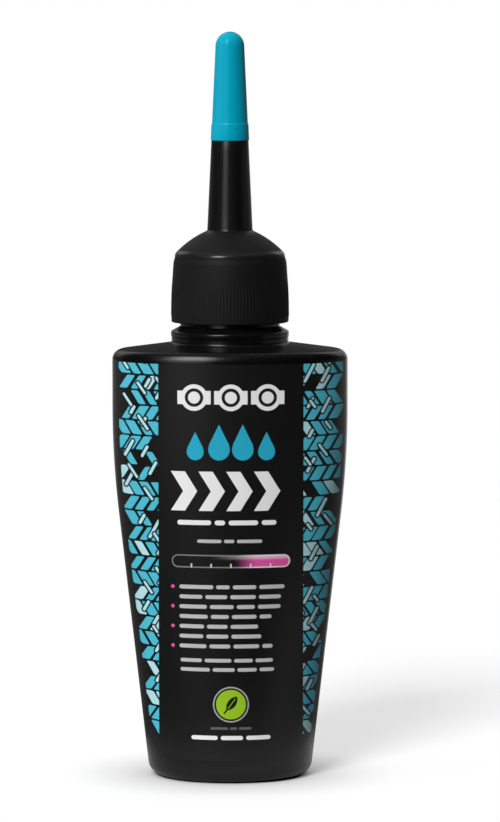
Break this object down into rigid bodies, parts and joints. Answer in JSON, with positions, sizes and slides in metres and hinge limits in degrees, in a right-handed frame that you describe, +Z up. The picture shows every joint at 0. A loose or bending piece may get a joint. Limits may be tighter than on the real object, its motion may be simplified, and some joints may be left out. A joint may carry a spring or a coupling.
{
  "type": "chain lube bottle",
  "caption": "Oval squeeze bottle that tapers to its base, with a ribbed screw cap drawn up into a slim dropper spout, a push-on tip cap and a printed front label.",
  "frame": {"origin": "centre of the base, on the plane that the bottle stands on", "axes": "+Z up along the axis of the neck and spout, -Y out of the labelled front, +X to the right as the label is read"},
  "size_m": [0.0422, 0.0281, 0.1334],
  "materials": {
    "bottle_black": "satin black blown polyethylene",
    "lubricant_oil": "clear oil, stood in for by a solid",
    "label_print": "printed satin film, black ground with blue side bands",
    "seal_white": "soft white foam",
    "cap_black": "moulded black polypropylene, fine grain on the cap, polished spout",
    "tip_cyan": "moulded cyan polyethylene, soft gloss"
  },
  "bodies": {
    "bottle": {"bottle": "bottle_black", "lubricant": "lubricant_oil", "front_label": "label_print"},
    "seal": {"seal_washer": "seal_white"},
    "cap": {"spout_cap": "cap_black"},
    "tip": {"tip_cap": "tip_cyan"}
  },
  "joints": [
    {"name": "cap_rise", "type": "slide", "parent": "bottle", "child": "seal", "axis": [0, 0, 1], "range_m": [0, 0.00477]},
    {"name": "cap_turn", "type": "hinge", "parent": "seal", "child": "cap", "pos_m": [0, 0, 0.0918], "axis": [0, 0, 1], "range_deg": [0, 540]},
    {"name": "tip_pull", "type": "slide", "parent": "cap", "child": "tip", "axis": [0, 0, 1], "range_m": [0, 0.02]}
  ],
  "couplings": [
    {"joint": "cap_rise", "follows": "cap_turn", "m_per_rad": 0.00050532}
  ]
}
